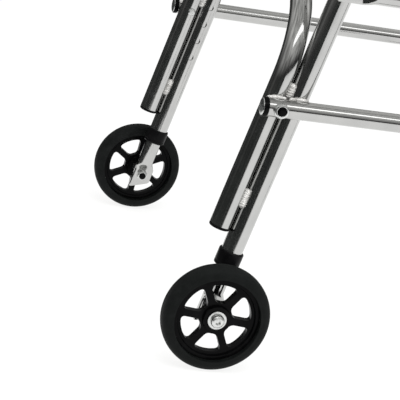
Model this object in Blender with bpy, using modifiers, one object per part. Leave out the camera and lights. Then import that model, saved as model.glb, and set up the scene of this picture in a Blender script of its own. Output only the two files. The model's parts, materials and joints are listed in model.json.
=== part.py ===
"""Walking frame with front wheels, a welded twin-tube front hoop and four telescopic legs.

Metres, +Z up.  X runs across the frame, the closed wheeled end faces -Y and the open end +Y.
The origin is on the floor, under the middle of the frame's bounding box.  The user stands
inside and faces -Y, so the user's left is +X.
"""
from math import cos, pi, radians, sin, tan

import bmesh
import bpy
from mathutils import Matrix, Vector

# ---------------------------------------------------------------- driving dimensions
LEG_X = 0.243                   # centre plane of each side frame
WHEEL_OFFSET = 0.037            # leg centre to wheel mid-plane
DEPTH = 0.556                   # overall, front of the tyres to the back of the rear tips
HANDLE_Z = 0.795                # centre of the hand rail tube
FRONT_LEAN = radians(12.1)
REAR_LEAN = radians(6.0)

TUBE_R = 0.0127                 # 1 inch tube: side frames and hoop
STEM_R = 0.0111                 # 7/8 inch tube: leg extensions and cross tube
RAIL_R = 0.0105
WALL = 0.0013
STEM_WALL = 0.0014
GAP = 0.0003                    # between pieces that touch
TUBE_SIDES = 16

BEND_R = 0.055                  # hand rail bends
BEND_STEPS = 5
HOOP_R = 0.098                  # hoop bends
HOOP_STEPS = 7
HOOP_FOOT_S = 0.0956            # distances called S run up the front leg from the axle
HOOP_BEND_S = 0.278
COLLAR_S = 0.0508
RAIL_Z = 0.312
UPPER_RAIL_S = 0.394
CROSS_TUBE_S = 0.600

HOLE_PITCH = 0.0254
HOLE_COUNT = 7
HOLE_R = 0.0042
FRONT_HOLE_S = 0.1876           # lowest height-adjustment hole
REAR_COLLAR_U = 0.1140          # distances called U run up the rear leg from the floor
REAR_HOLE_U = 0.2500
STEM_ABOVE_BUTTON = 0.026

WHEEL_R = 0.0635
TYRE_HALF_W = 0.0145
TYRE_BORE_R = 0.0503
RIM_R = 0.0500
RIM_INNER_R = 0.0430
RIM_HALF_W = 0.0130
WEB_HALF_W = 0.0050
HUB_R = 0.0165
HUB_BORE_R = 0.0080
HUB_HALF_W = 0.0090
SPOKES = 6
SPOKE_W = 0.0090
SPOKE_TURN = {1: radians(-6.0), -1: radians(25.0)}     # from +Y towards +Z, at rest
WINDOW_IN_R = 0.0195
WINDOW_OUT_R = 0.0412

STEM_FLAT_HALF_W = 0.0135       # pressed lower end of a wheeled leg
STEM_FLAT_HALF_T = 0.0050
STEM_FLAT_DOWN = 0.0165
STEM_FLAT_UP = 0.0080
STEM_ROUND_S = 0.0185
STEM_END_SLANT = 0.50           # the end is cut obliquely, lower at the front
STEM_END_SHIFT = 0.0024         # the flat stands proud of the tube at the back only

AXLE_R = 0.0040
AXLE_HOLE_R = 0.0043
WASHER_R = 0.0110
WASHER_T = 0.0015
BOLT_HEAD_H = 0.0055
NUT_H = 0.0095

BUTTON_R = 0.0037
BUTTON_TIP = 0.0152             # from the leg's centre line
BUTTON_BACK = 0.0060
BUTTON_FLANGE_R = 0.0050

TIP_R = 0.0210
TIP_H = 0.0420
TIP_FLOOR = 0.0100

GRIP_R = 0.0180
GRIP_LENGTH = 0.125

# ---------------------------------------------------------------- derived places
AXLE_Y = -DEPTH / 2 + WHEEL_R
FOOT_Y = DEPTH / 2 - TIP_R / cos(REAR_LEAN)
PAIR_PITCH = 2 * TUBE_R + GAP
SLEEVE_S = COLLAR_S + 0.0050 + GAP
SLEEVE_U = REAR_COLLAR_U + 0.0050 + GAP
FRONT_BUTTON_S = FRONT_HOLE_S + HOLE_PITCH * (HOLE_COUNT - 1)
REAR_BUTTON_U = REAR_HOLE_U + HOLE_PITCH * (HOLE_COUNT - 1)
RAIL_X = LEG_X + TUBE_R + RAIL_R + GAP
UPPER_RAIL_Z = WHEEL_R + UPPER_RAIL_S * cos(FRONT_LEAN)


def front_leg_y(z):
    """Y of the front leg's centre line at height z."""
    return AXLE_Y + (z - WHEEL_R) * tan(FRONT_LEAN)


def rear_leg_y(z):
    """Y of the rear leg's centre line at height z."""
    return FOOT_Y - z * tan(REAR_LEAN)


# ---------------------------------------------------------------- scene and materials
for old in list(bpy.data.objects):
    bpy.data.objects.remove(old, do_unlink=True)


def new_collection(name):
    collection = bpy.data.collections.new(name)
    bpy.context.scene.collection.children.link(collection)
    return collection


PARTS = new_collection("walking_frame")
CUTTERS = new_collection("cutters")


def make_material(name, colour, roughness, metallic=0.0):
    material = bpy.data.materials.new(name)
    material.use_nodes = True
    shader = material.node_tree.nodes["Principled BSDF"]
    shader.inputs["Base Color"].default_value = (*colour, 1.0)
    shader.inputs["Roughness"].default_value = roughness
    shader.inputs["Metallic"].default_value = metallic
    return material


ALUMINIUM = make_material("bright_aluminium", (0.80, 0.80, 0.79), 0.16, 1.0)
ZINC = make_material("zinc_plated_steel", (0.72, 0.72, 0.70), 0.28, 1.0)
SPRING_STEEL = make_material("spring_steel", (0.45, 0.46, 0.48), 0.30, 1.0)
BLACK_PLASTIC = make_material("black_plastic", (0.018, 0.018, 0.019), 0.35)
BLACK_RUBBER = make_material("black_rubber", (0.022, 0.022, 0.022), 0.75)
GRIP_VINYL = make_material("grip_vinyl", (0.030, 0.030, 0.032), 0.60)
NYLON = make_material("nylon_bush", (0.55, 0.54, 0.50), 0.45)


# ---------------------------------------------------------------- modelling helpers
def add_object(name, mesh, material=None, collection=PARTS):
    obj = bpy.data.objects.new(name, mesh)
    collection.objects.link(obj)
    if material:
        mesh.materials.append(material)
    if collection is CUTTERS:
        obj.hide_render = True
        obj.display_type = "WIRE"
    return obj


def add_empty(name, location, tilt=0.0):
    empty = bpy.data.objects.new(name, None)
    empty.location = location
    empty.rotation_euler = (tilt, 0.0, 0.0)
    PARTS.objects.link(empty)
    return empty


def place(obj, parent, location=(0.0, 0.0, 0.0), rotation=(0.0, 0.0, 0.0)):
    obj.parent = parent
    obj.location = location
    obj.rotation_euler = rotation
    return obj


def smooth(obj, angle=35.0):
    obj.data.shade_smooth()
    obj.data.set_sharp_from_angle(angle=radians(angle))
    return obj


def cut(obj, cutter):
    modifier = obj.modifiers.new("cut", "BOOLEAN")
    modifier.operation = "DIFFERENCE"
    modifier.solver = "EXACT"
    modifier.object = cutter
    return obj


def lathe(name, profile, material, closed=True, steps=16, collection=PARTS):
    """Turn (radius, height) points about Z; the profile runs down its outer side."""
    mesh = bpy.data.meshes.new(name)
    points = [(r, 0.0, z) for r, z in profile]
    edges = [(i, i + 1) for i in range(len(points) - 1)]
    if closed:
        edges.append((len(points) - 1, 0))
    mesh.from_pydata(points, edges, [])
    obj = add_object(name, mesh, material, collection)
    screw = obj.modifiers.new("turn", "SCREW")
    screw.axis = "Z"
    screw.steps = steps
    screw.render_steps = steps
    screw.use_merge_vertices = True
    screw.merge_threshold = 0.00002
    screw.use_smooth_shade = True
    return obj


def filleted_path(corners, radius, steps):
    """Corner points with each inner corner turned into an arc of the given radius."""
    corners = [Vector(c) for c in corners]
    path = [corners[0]]
    for before, corner, after in zip(corners, corners[1:], corners[2:]):
        into = (corner - before).normalized()
        out = (after - corner).normalized()
        turn = into.angle(out)
        start = corner - into * radius * tan(turn / 2)
        centre_dir = (out - into * out.dot(into)).normalized()
        for k in range(steps + 1):
            a = turn * k / steps
            path.append(start + into * radius * sin(a) + centre_dir * radius * (1 - cos(a)))
    path.append(corners[-1])
    return path


def swept_surface(name, path, radius):
    """An open round tube surface along the path, as a mesh."""
    curve = bpy.data.curves.new(name, "CURVE")
    curve.dimensions = "3D"
    curve.bevel_depth = radius
    curve.bevel_resolution = TUBE_SIDES // 2 - 2
    spline = curve.splines.new("POLY")
    spline.points.add(len(path) - 1)
    for point, where in zip(spline.points, path):
        point.co = (*where, 1.0)
    guide = bpy.data.objects.new(name + "_guide", curve)
    PARTS.objects.link(guide)
    depsgraph = bpy.context.evaluated_depsgraph_get()
    mesh = bpy.data.meshes.new_from_object(guide.evaluated_get(depsgraph))
    mesh.name = name
    bpy.data.objects.remove(guide, do_unlink=True)
    return mesh


def add_wall(obj, wall):
    shell = obj.modifiers.new("wall", "SOLIDIFY")
    shell.thickness = wall
    shell.offset = -1.0
    shell.use_even_offset = True
    return obj


def hollow_tube(name, path, radius, wall, material):
    obj = add_object(name, swept_surface(name, path, radius), material)
    smooth(obj)
    return add_wall(obj, wall)


def superellipse(half_y, half_x, power, count=TUBE_SIDES):
    """Points of a rounded section, from a circle (power 2) to nearly a rectangle."""
    points = []
    for k in range(count):
        a = 2 * pi * (k + 0.5) / count
        c, s = cos(a), sin(a)
        size = (abs(c) ** power + abs(s) ** power) ** (-1.0 / power)
        points.append((half_x * c * size, half_y * s * size))
    return points


def loft(name, sections, material, capped, end_slant=0.0, end_shift=0.0):
    """Skin (height, half_y, half_x, power) sections up local Z.

    The slant tilts the first two sections and the shift moves the first three along Y.
    """
    bm = bmesh.new()
    rings = []
    for number, (height, half_y, half_x, power) in enumerate(sections):
        slant = end_slant if number < 2 else 0.0
        shift = end_shift if number < 3 else 0.0
        outline = superellipse(half_y, half_x, power)
        rings.append([bm.verts.new((x, y + shift, height + slant * y)) for x, y in outline])
    for low, high in zip(rings, rings[1:]):
        for k in range(TUBE_SIDES):
            n = (k + 1) % TUBE_SIDES
            bm.faces.new((low[k], low[n], high[n], high[k]))
    if capped:
        bm.faces.new(list(reversed(rings[0])))
        bm.faces.new(rings[-1])
    mesh = bpy.data.meshes.new(name)
    bm.to_mesh(mesh)
    bm.free()
    return smooth(add_object(name, mesh, material))


def cylinder_mesh(name, spans, radius, sides=12):
    """Cylinders along X, each given as (x from, x to, y, z)."""
    bm = bmesh.new()
    for x0, x1, y, z in spans:
        turn = Matrix.Rotation(pi / 2, 4, "Y") @ Matrix.Rotation(pi / sides, 4, "Z")
        where = Matrix.Translation(((x0 + x1) / 2, y, z))
        bmesh.ops.create_cone(bm, cap_ends=True, segments=sides, radius1=radius,
                              radius2=radius, depth=abs(x1 - x0), matrix=where @ turn)
    mesh = bpy.data.meshes.new(name)
    bm.to_mesh(mesh)
    bm.free()
    return mesh


def hole_cutter(name, parent, spans, radius, sides=8):
    cutter = add_object(name, cylinder_mesh(name, spans, radius, sides), None, CUTTERS)
    return place(cutter, parent)


def axial(side):
    """Rotation that points a turned piece's local Z outboard on the given side."""
    return (0.0, side * pi / 2, 0.0)


# ---------------------------------------------------------------- turned profiles
def tyre_profile(count=8, power=2.6):
    crown = WHEEL_R - TYRE_BORE_R
    points = []
    for k in range(count + 1):
        a = pi / 2 - pi * k / count
        c, s = max(cos(a), 0.0), sin(a)
        size = (c ** power + abs(s) ** power) ** (-1.0 / power)
        points.append((TYRE_BORE_R + crown * c * size, TYRE_HALF_W * s * size))
    return points


RIM_PROFILE = [
    (RIM_R, RIM_HALF_W), (RIM_R, -RIM_HALF_W),
    (RIM_INNER_R + 0.0008, -RIM_HALF_W), (RIM_INNER_R, -WEB_HALF_W),
    (HUB_R, -WEB_HALF_W), (HUB_R - 0.0008, -HUB_HALF_W),
    (HUB_BORE_R, -HUB_HALF_W), (HUB_BORE_R, HUB_HALF_W),
    (HUB_R - 0.0008, HUB_HALF_W), (HUB_R, WEB_HALF_W),
    (RIM_INNER_R, WEB_HALF_W), (RIM_INNER_R + 0.0008, RIM_HALF_W),
]


def ring_profile(outer, inner, low, high):
    return [(outer, high), (outer, low), (inner, low), (inner, high)]


def hex_nut_profile(corner_r, bore, low, high):
    """Six-sided ring whose bore clears a round shank of radius bore."""
    return ring_profile(corner_r, bore / cos(pi / 6), low, high)


def domed_profile(radius, low, high, dome, count=2):
    """Solid disc from low to high with a domed top of the given height."""
    points = []
    for k in range(count + 1):
        a = pi / 2 * k / count
        points.append((radius * sin(a), high - dome + dome * cos(a)))
    return points + [(radius, low), (0.0, low)]


def wheel(side, label, axle):
    """Tyre, spoked rim and bush; local Z is the wheel's axis, pointing outboard."""
    hub = add_empty(label + "_wheel_axis", (side * WHEEL_OFFSET, 0.0, 0.0))
    hub.parent = axle
    turn = axial(side)
    tyre = lathe(label + "_tyre", tyre_profile(), BLACK_RUBBER, steps=40)
    place(tyre, hub, rotation=turn)
    rim = lathe(label + "_wheel_rim", RIM_PROFILE, BLACK_PLASTIC, steps=30)
    place(rim, hub, rotation=turn)
    windows = add_object(label + "_window_cutter", window_mesh(side), None, CUTTERS)
    place(windows, hub, rotation=turn)
    cut(rim, windows)
    bush = lathe(label + "_wheel_bush",
                 ring_profile(HUB_BORE_R - GAP, AXLE_HOLE_R, -HUB_HALF_W, HUB_HALF_W), NYLON)
    place(bush, hub, rotation=turn)


def window_outline(middle, arc_steps=2):
    """Outline of one opening between two spokes, centred on the given angle."""
    half_spoke = pi / SPOKES
    outline = []
    for radius, order in ((WINDOW_OUT_R, 1), (WINDOW_IN_R, -1)):
        spread = half_spoke - (SPOKE_W / 2) / radius
        for k in range(arc_steps + 1):
            a = middle + order * spread * (2 * k / arc_steps - 1)
            outline.append((radius * cos(a), radius * sin(a)))
    return outline


def window_mesh(side):
    first_spoke = pi / 2 + side * (SPOKE_TURN[side] + FRONT_LEAN)
    bm = bmesh.new()
    for n in range(SPOKES):
        outline = window_outline(first_spoke + 2 * pi * (n + 0.5) / SPOKES)
        base = [bm.verts.new((x, y, -0.02)) for x, y in outline]
        face = bm.faces.new(base)
        raised = bmesh.ops.extrude_face_region(bm, geom=[face])
        top = [v for v in raised["geom"] if isinstance(v, bmesh.types.BMVert)]
        bmesh.ops.translate(bm, verts=top, vec=(0.0, 0.0, 0.04))
    bmesh.ops.recalc_face_normals(bm, faces=bm.faces)
    mesh = bpy.data.meshes.new("wheel_windows")
    bm.to_mesh(mesh)
    bm.free()
    return mesh


# ---------------------------------------------------------------- legs
def button_and_spring(label, leg, height, side):
    """Snap button in the leg's top hole, and the leaf spring that carries it."""
    inboard = -side
    profile = domed_profile(BUTTON_R, BUTTON_BACK, BUTTON_TIP, 0.0015)
    profile = profile[:-2] + [
        (BUTTON_R, BUTTON_BACK + 0.0014), (BUTTON_FLANGE_R, BUTTON_BACK + 0.0014),
        (BUTTON_FLANGE_R, BUTTON_BACK), (0.0, BUTTON_BACK),
    ]
    button = lathe(label + "_button", profile, ZINC, closed=False)
    place(button, leg, (0.0, 0.0, height), axial(inboard))

    reach, fold, rise = -0.0086, 0.038, 0.011
    strip = [(reach, rise), (reach, -fold)]
    strip += [(reach + 0.0024 * (1 - cos(a)), -fold - 0.0024 * sin(a))
              for a in (pi / 4, pi / 2, 3 * pi / 4, pi)]
    strip.append((0.0008, 0.003))
    bm = bmesh.new()
    rows = [[bm.verts.new((inboard * x, y, z)) for y in (-0.0033, 0.0033)] for x, z in strip]
    for low, high in zip(rows, rows[1:]):
        bm.faces.new((low[0], low[1], high[1], high[0]))
    mesh = bpy.data.meshes.new(label + "_spring")
    bm.to_mesh(mesh)
    bm.free()
    spring = add_object(label + "_spring", mesh, SPRING_STEEL)
    blade = spring.modifiers.new("blade", "SOLIDIFY")
    blade.thickness = 0.0005
    blade.offset = 0.0
    place(spring, leg, (0.0, 0.0, height))


def collar(label, leg, height):
    """Plastic bush at a sleeve's lower end: a lip round the stem, a cup round the sleeve."""
    lip, tall, outer = 0.0050, 0.0200, 0.0150
    profile = [
        (outer - 0.0008, tall), (outer, tall - 0.0010), (outer, 0.0012), (outer - 0.0012, 0.0),
        (STEM_R + GAP, 0.0), (STEM_R + GAP, lip), (TUBE_R + GAP, lip), (TUBE_R + GAP, tall),
    ]
    piece = lathe(label + "_collar", profile, BLACK_PLASTIC)
    return place(piece, leg, (0.0, 0.0, height))


def front_stem(label, leg, side):
    """Telescoping tube with a pressed flat lower end for the axle."""
    top = FRONT_BUTTON_S + STEM_ABOVE_BUTTON
    sections = [
        (-STEM_FLAT_DOWN, STEM_FLAT_HALF_W - 0.0015, STEM_FLAT_HALF_T, 5.0),
        (-STEM_FLAT_DOWN + 0.0015, STEM_FLAT_HALF_W, STEM_FLAT_HALF_T, 5.0),
        (STEM_FLAT_UP, STEM_FLAT_HALF_W, STEM_FLAT_HALF_T, 5.0),
        ((STEM_FLAT_UP + STEM_ROUND_S) / 2, 0.0128, 0.0082, 2.8),
        (STEM_ROUND_S, STEM_R, STEM_R, 2.0),
        (top, STEM_R, STEM_R, 2.0),
    ]
    stem = loft(label + "_stem", sections, ALUMINIUM, False, STEM_END_SLANT, STEM_END_SHIFT)
    add_wall(stem, STEM_WALL)
    place(stem, leg)
    axle = hole_cutter(label + "_axle_cutter", leg, [(-0.02, 0.02, 0.0, 0.0)], AXLE_HOLE_R, 12)
    spot = hole_cutter(label + "_spot_cutter", leg,
                       [(0.0, -side * 0.02, 0.0, FRONT_BUTTON_S)], HOLE_R)
    cut(stem, axle)
    cut(stem, spot)
    return stem


def rear_stem(label, leg, side):
    top = REAR_BUTTON_U + STEM_ABOVE_BUTTON
    sections = [(TIP_FLOOR + GAP, STEM_R, STEM_R, 2.0), (top, STEM_R, STEM_R, 2.0)]
    stem = loft(label + "_stem", sections, ALUMINIUM, capped=False)
    add_wall(stem, STEM_WALL)
    place(stem, leg)
    spot = hole_cutter(label + "_spot_cutter", leg,
                       [(0.0, -side * 0.02, 0.0, REAR_BUTTON_U)], HOLE_R)
    cut(stem, spot)
    return stem


def rear_tip(label, leg):
    """Rubber ferrule, its sole cut level with the floor."""
    profile = [
        (0.0, TIP_FLOOR), (STEM_R + GAP, TIP_FLOOR), (STEM_R + GAP, TIP_H),
        (0.0150, TIP_H), (0.0160, TIP_H - 0.0020), (0.0175, 0.0160), (0.0205, 0.0110),
        (TIP_R, -0.0040), (0.0, -0.0040),
    ]
    tip = lathe(label + "_tip", profile, BLACK_RUBBER, closed=False, steps=20)
    place(tip, leg)
    bpy.ops.mesh.primitive_cube_add(size=0.08, location=(leg.location.x, leg.location.y, -0.04))
    floor = bpy.context.object
    floor.name = label + "_floor_cutter"
    for owner in list(floor.users_collection):
        owner.objects.unlink(floor)
    CUTTERS.objects.link(floor)
    floor.hide_render = True
    floor.display_type = "WIRE"
    return cut(tip, floor)


def axle_set(label, leg, side):
    """Axle bolt, washers, spacer and nut, stacked along X from the wheel to the leg."""
    turn = axial(side)
    washer_low = WHEEL_OFFSET + HUB_HALF_W + GAP
    head_low = washer_low + WASHER_T + GAP
    nut_high = -STEM_FLAT_HALF_T - GAP
    head_r = 0.0080
    profile = [(0.0, head_low + BOLT_HEAD_H), (head_r - 0.0012, head_low + BOLT_HEAD_H),
               (head_r, head_low + BOLT_HEAD_H - 0.0012), (head_r, head_low),
               (AXLE_R, head_low), (AXLE_R, nut_high - NUT_H - 0.0015),
               (0.0, nut_high - NUT_H - 0.0015)]
    bolt = lathe(label + "_axle_bolt", profile, ZINC, closed=False)
    place(bolt, leg, rotation=turn)
    washer = lathe(label + "_axle_washer",
                   ring_profile(WASHER_R, AXLE_HOLE_R, washer_low, washer_low + WASHER_T),
                   ZINC)
    place(washer, leg, rotation=turn)
    spacer = lathe(label + "_axle_spacer",
                   ring_profile(0.0080, AXLE_HOLE_R, STEM_FLAT_HALF_T + GAP,
                                WHEEL_OFFSET - HUB_HALF_W - GAP), ZINC)
    place(spacer, leg, rotation=turn)
    nut = lathe(label + "_axle_nut",
                hex_nut_profile(0.0075, AXLE_HOLE_R, nut_high - NUT_H, nut_high), ZINC, steps=6)
    place(nut, leg, rotation=turn)


# ---------------------------------------------------------------- fixed frame
def side_frame(label, side, front_leg, rear_leg):
    """One bent tube: front sleeve, hand rail and rear sleeve."""
    x = side * LEG_X
    bottom_front = (x, AXLE_Y + SLEEVE_S * sin(FRONT_LEAN), WHEEL_R + SLEEVE_S * cos(FRONT_LEAN))
    bottom_rear = (x, FOOT_Y - SLEEVE_U * sin(REAR_LEAN), SLEEVE_U * cos(REAR_LEAN))
    corners = [bottom_front, (x, front_leg_y(HANDLE_Z), HANDLE_Z),
               (x, rear_leg_y(HANDLE_Z), HANDLE_Z), bottom_rear]
    path = filleted_path(corners, BEND_R, BEND_STEPS)
    tube = hollow_tube(label + "_side_frame", path, TUBE_R, WALL, ALUMINIUM)
    inboard_x = -side * 0.02
    rows = ((front_leg, "front", FRONT_HOLE_S), (rear_leg, "rear", REAR_HOLE_U))
    for leg, end, lowest in rows:
        spans = [(0.0, inboard_x, 0.0, lowest + HOLE_PITCH * n) for n in range(HOLE_COUNT)]
        cut(tube, hole_cutter(f"{label}_{end}_hole_row", leg, spans, HOLE_R))
    for end, y in upper_rail_ends():
        spans = [(x - 0.02, x + 0.02, y, UPPER_RAIL_Z)]
        cut(tube, hole_cutter(f"{label}_{end}_bolt_hole", None, spans, 0.0033))
    return tube


def upper_rail_ends():
    return (("front", front_leg_y(UPPER_RAIL_Z)), ("rear", rear_leg_y(UPPER_RAIL_Z)))


def front_hoop():
    """The second tube of each front pair, bent over into one hoop between the legs."""
    def at(side, s):
        lean_y = AXLE_Y + s * sin(FRONT_LEAN) - PAIR_PITCH * cos(FRONT_LEAN)
        lean_z = WHEEL_R + s * cos(FRONT_LEAN) + PAIR_PITCH * sin(FRONT_LEAN)
        return (side * LEG_X, lean_y, lean_z)

    top = HOOP_BEND_S + HOOP_R
    corners = [at(1, HOOP_FOOT_S), at(1, top), at(-1, top), at(-1, HOOP_FOOT_S)]
    path = filleted_path(corners, HOOP_R, HOOP_STEPS)
    hoop = hollow_tube("front_hoop", path, TUBE_R, WALL, ALUMINIUM)
    for label, side in (("left", 1), ("right", -1)):
        spans = [(side * LEG_X - 0.02, side * LEG_X + 0.02, BOSS_Y, RAIL_Z)]
        cut(hoop, hole_cutter(label + "_rivet_hole", None, spans, BOSS_BOLT_R + GAP))
    return hoop


def hoop_plug(label, leg):
    profile = [(0.0, 0.0140), (0.0106, 0.0140), (0.0108, 0.0130), (0.0108, -GAP),
               (0.0125, -GAP), (0.0125, -0.0024), (0.0117, -0.0032), (0.0, -0.0036)]
    plug = lathe(label + "_hoop_plug", profile, BLACK_PLASTIC, closed=False)
    return place(plug, leg, (0.0, -PAIR_PITCH, HOOP_FOOT_S))


def cross_tube(front_legs):
    """Straight tube between the front legs, its ends coped to fit round them."""
    y = AXLE_Y + CROSS_TUBE_S * sin(FRONT_LEAN)
    z = WHEEL_R + CROSS_TUBE_S * cos(FRONT_LEAN)
    path = [(-LEG_X, y, z), (LEG_X, y, z)]
    tube = hollow_tube("upper_cross_tube", path, STEM_R, WALL, ALUMINIUM)
    for label, leg in front_legs.items():
        profile = domed_profile(TUBE_R + GAP, CROSS_TUBE_S - 0.04, CROSS_TUBE_S + 0.04, 0.001)
        coping = lathe(label + "_coping", profile, None, closed=False, steps=32,
                       collection=CUTTERS)
        place(coping, leg)
        cut(tube, coping)
    return tube


RAIL_FRONT_Y = front_leg_y(RAIL_Z) - (PAIR_PITCH + TUBE_R) / cos(FRONT_LEAN) + 0.0010
RAIL_REAR_Y = rear_leg_y(RAIL_Z) + TUBE_R + 0.0090
BOSS_Y = front_leg_y(RAIL_Z) - PAIR_PITCH / cos(FRONT_LEAN) + 0.0018
BOSS_R = 0.0085
BOSS_RECESS_R = 0.0053
BOSS_HEAD_H = 0.0045
BOSS_BOLT_R = 0.0030
RIVET_TAIL_R = 0.0055
RIVET_TAIL_H = 0.0026


def lower_side_rail(label, side):
    x = side * RAIL_X
    rail = hollow_tube(label + "_lower_rail", [(x, RAIL_FRONT_Y, RAIL_Z), (x, RAIL_REAR_Y, RAIL_Z)],
                       RAIL_R, WALL, ALUMINIUM)
    spans = [(x - 0.02, x + 0.02, BOSS_Y, RAIL_Z)]
    cut(rail, hole_cutter(label + "_boss_hole", None, spans, BOSS_BOLT_R + GAP))
    for end, y, facing in (("front", RAIL_FRONT_Y, 1), ("rear", RAIL_REAR_Y, -1)):
        profile = domed_profile(0.0098, 0.0058, 0.0074, 0.0014)[:-2] + [
            (0.0098, 0.0060), (0.0113, 0.0058), (0.0113, GAP), (0.0088, GAP), (0.0086, -0.0070),
            (0.0, -0.0070)]
        cap = lathe(f"{label}_rail_cap_{end}", profile, BLACK_PLASTIC, closed=False)
        place(cap, None, (x, y, RAIL_Z), (facing * pi / 2, 0.0, 0.0))
    rail_boss(label, side)
    return rail


def rail_boss(label, side):
    """Rivet through the rail and the hoop tube behind it, with a black insert in its head."""
    turn = axial(side)
    outer = RAIL_R + GAP + BOSS_HEAD_H
    seat = RAIL_R - 0.0035
    tail = -RAIL_R - 2 * TUBE_R - 2 * GAP
    profile = [
        (BOSS_RECESS_R, outer), (BOSS_R - 0.0006, outer), (BOSS_R, outer - 0.0006), (BOSS_R, seat),
        (BOSS_BOLT_R, seat), (BOSS_BOLT_R, tail), (RIVET_TAIL_R, tail),
        (RIVET_TAIL_R - 0.0012, tail - RIVET_TAIL_H), (0.0, tail - RIVET_TAIL_H),
    ]
    profile = [(0.0, outer - 0.0022), (BOSS_RECESS_R, outer - 0.0022)] + profile
    rivet = lathe(label + "_rail_rivet", profile, ZINC, closed=False)
    place(rivet, None, (side * RAIL_X, BOSS_Y, RAIL_Z), turn)
    saddle = cylinder_mesh(label + "_saddle", [(-0.02, 0.02, 0.0, 0.0)], RAIL_R + GAP, 16)
    saddle_cutter = add_object(label + "_saddle", saddle, None, CUTTERS)
    place(saddle_cutter, None, (side * RAIL_X, BOSS_Y, RAIL_Z), (0.0, 0.0, pi / 2))
    keep = cylinder_mesh(label + "_shank_keeper", [(-0.03, 0.03, 0.0, 0.0)], BOSS_BOLT_R + 0.0001, 16)
    keeper = add_object(label + "_shank_keeper", keep, None, CUTTERS)
    place(keeper, None, (side * RAIL_X, BOSS_Y, RAIL_Z))
    cut(saddle_cutter, keeper)
    cut(rivet, saddle_cutter)
    insert = lathe(label + "_rail_rivet_insert",
                   domed_profile(BOSS_RECESS_R - GAP, outer - 0.0019, outer + 0.0004, 0.0010),
                   BLACK_PLASTIC, closed=False)
    place(insert, None, (side * RAIL_X, BOSS_Y, RAIL_Z), turn)


UPPER_RAIL_R = 0.0095
FLAT_HALF_T = 0.0016
FLAT_HALF_W = 0.0115
UPPER_RAIL_X = LEG_X + TUBE_R + GAP + FLAT_HALF_T
BOLT_R = 0.0030


def upper_side_rail(label, side):
    """Tube with pressed flat ends, bolted to the outer faces of both legs."""
    (_, y0), (_, y1) = upper_rail_ends()
    overhang, flat, blend = 0.0115, 0.0165, 0.0340
    low, high = y0 - overhang, y1 + overhang
    flat_size = (FLAT_HALF_W, FLAT_HALF_T, 6.0)
    round_size = (UPPER_RAIL_R, UPPER_RAIL_R, 2.0)
    sections = [
        (low, FLAT_HALF_W - 0.0020, FLAT_HALF_T, 6.0), (low + 0.0020, *flat_size),
        (y0 + flat, *flat_size), (y0 + (flat + blend) / 2, 0.0110, 0.0062, 2.8),
        (y0 + blend, *round_size), (y1 - blend, *round_size),
        (y1 - (flat + blend) / 2, 0.0110, 0.0062, 2.8), (y1 - flat, *flat_size),
        (high - 0.0020, *flat_size), (high, FLAT_HALF_W - 0.0020, FLAT_HALF_T, 6.0),
    ]
    rail = loft(label + "_upper_rail", sections, ALUMINIUM, capped=True)
    place(rail, None, (side * UPPER_RAIL_X, 0.0, UPPER_RAIL_Z), (-pi / 2, 0.0, 0.0))
    x = side * UPPER_RAIL_X
    for end, y in upper_rail_ends():
        spans = [(x - 0.02, x + 0.02, y, UPPER_RAIL_Z)]
        cut(rail, hole_cutter(f"{label}_{end}_rail_hole", None, spans, BOLT_R + GAP))
    upper_rail_fasteners(label, side)
    return rail


def upper_rail_fasteners(label, side):
    """Round-headed bolt and nut at each end of the upper rail."""
    turn = axial(side)
    face = FLAT_HALF_T + GAP
    nut_top = -(FLAT_HALF_T + GAP + 2 * TUBE_R + GAP)
    shank_end = nut_top - 0.0068
    bolt_profile = domed_profile(0.0066, face, face + 0.0038, 0.0024)[:-2] + [
        (0.0066, face), (BOLT_R, face), (BOLT_R, shank_end), (0.0, shank_end)]
    nut_profile = hex_nut_profile(0.0058, BOLT_R + 0.0002, nut_top - 0.0052, nut_top)
    for end, y in upper_rail_ends():
        where = (side * UPPER_RAIL_X, y, UPPER_RAIL_Z)
        bolt = lathe(f"{label}_upper_rail_bolt_{end}", bolt_profile, ZINC, closed=False, steps=12)
        place(bolt, None, where, turn)
        nut = lathe(f"{label}_upper_rail_nut_{end}", nut_profile, ZINC, steps=6)
        place(nut, None, where, turn)


def hand_grip(label, side):
    """Sleeve with a raised lip at each end, on the straight of the hand rail."""
    front_tangent = front_leg_y(HANDLE_Z) + BEND_R * tan((pi / 2 - FRONT_LEAN) / 2)
    rear_tangent = rear_leg_y(HANDLE_Z) - BEND_R * tan((pi / 2 - REAR_LEAN) / 2)
    middle = (front_tangent + rear_tangent) / 2
    half = GRIP_LENGTH / 2
    bore = TUBE_R + GAP
    waist = GRIP_R - 0.0015
    profile = [
        (GRIP_R - 0.0015, half), (GRIP_R, half - 0.0015), (GRIP_R, half - 0.0050),
        (waist, half - 0.0070), (waist, -half + 0.0070), (GRIP_R, -half + 0.0050),
        (GRIP_R, -half + 0.0015), (GRIP_R - 0.0015, -half), (bore, -half), (bore, half),
    ]
    grip = lathe(label + "_hand_grip", profile, GRIP_VINYL)
    return place(grip, None, (side * LEG_X, middle, HANDLE_Z), (pi / 2, 0.0, 0.0))


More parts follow.
